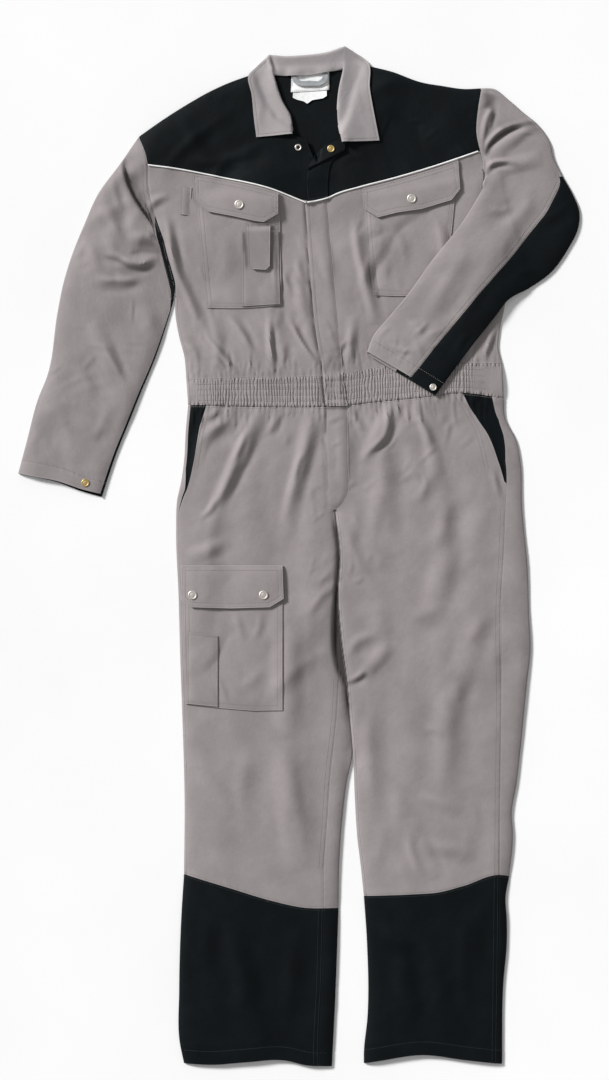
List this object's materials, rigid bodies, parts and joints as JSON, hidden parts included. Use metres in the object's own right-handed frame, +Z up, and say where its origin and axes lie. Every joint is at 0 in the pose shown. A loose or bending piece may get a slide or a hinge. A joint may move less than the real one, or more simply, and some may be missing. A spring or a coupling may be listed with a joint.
{
  "type": "boiler suit",
  "caption": "Long-sleeved work coverall laid flat: turn-down collar, covered front closing, elasticated waist, chest, hip and thigh pockets, snap cuffs, contrast yoke, sleeves and lower legs.",
  "frame": {"origin": "centre of the suit's box in plan, on the surface that it lies on", "axes": "+X to the wearer's left, +Y from the hems to the collar, +Z up out of the front"},
  "size_m": [0.9278, 1.684, 0.0172],
  "materials": {
    "grey_twill": "matt polyester and cotton twill, dyed warm grey",
    "black_twill": "matt polyester and cotton twill, dyed black",
    "piping": "white corded piping tape",
    "label_tape": "white woven label tape, left blank",
    "loop_tape": "grey herringbone tape",
    "snap_silver": "nickel-plated press stud",
    "snap_brass": "plain brass press stud"
  },
  "bodies": {
    "root": {"back_body": "grey_twill", "back_yoke": "black_twill", "cargo_flap": "grey_twill", "cargo_pocket": "grey_twill", "chest_flap_left": "grey_twill", "chest_flap_right": "grey_twill", "chest_pocket_left": "grey_twill", "chest_pocket_right": "grey_twill", "collar": "grey_twill", "fly": "grey_twill", "front_left": "grey_twill", "front_right": "grey_twill", "hanger_loop": "loop_tape", "hip_pocket_left": "black_twill", "hip_pocket_right": "black_twill", "leg_back_left": "grey_twill", "leg_back_right": "grey_twill", "leg_front_left": "grey_twill", "leg_front_right": "grey_twill", "neck_label": "label_tape", "pen_loop": "grey_twill", "phone_pocket": "grey_twill", "phone_pocket_flap": "grey_twill", "piping_left": "piping", "piping_right": "piping", "placket": "grey_twill", "placket_yoke": "black_twill", "rule_pocket": "grey_twill", "shin_back_left": "black_twill", "shin_back_right": "black_twill", "shin_front_left": "black_twill", "shin_front_right": "black_twill", "size_label": "label_tape", "sleeve_top_left": "grey_twill", "sleeve_top_right": "grey_twill", "sleeve_under_left": "black_twill", "sleeve_under_right": "black_twill", "snap_cargo_inner": "snap_silver", "snap_cargo_outer": "snap_silver", "snap_chest_left": "snap_silver", "snap_chest_right": "snap_silver", "snap_cuff_left": "snap_silver", "snap_cuff_right": "snap_brass", "snap_neck_left": "snap_brass", "snap_neck_right": "snap_silver", "waist_side_tab_left": "grey_twill", "waistband_back": "grey_twill", "waistband_front_left": "grey_twill", "waistband_front_right": "grey_twill", "yoke_front_left": "black_twill", "yoke_front_right": "black_twill"}
  },
  "joints": []
}
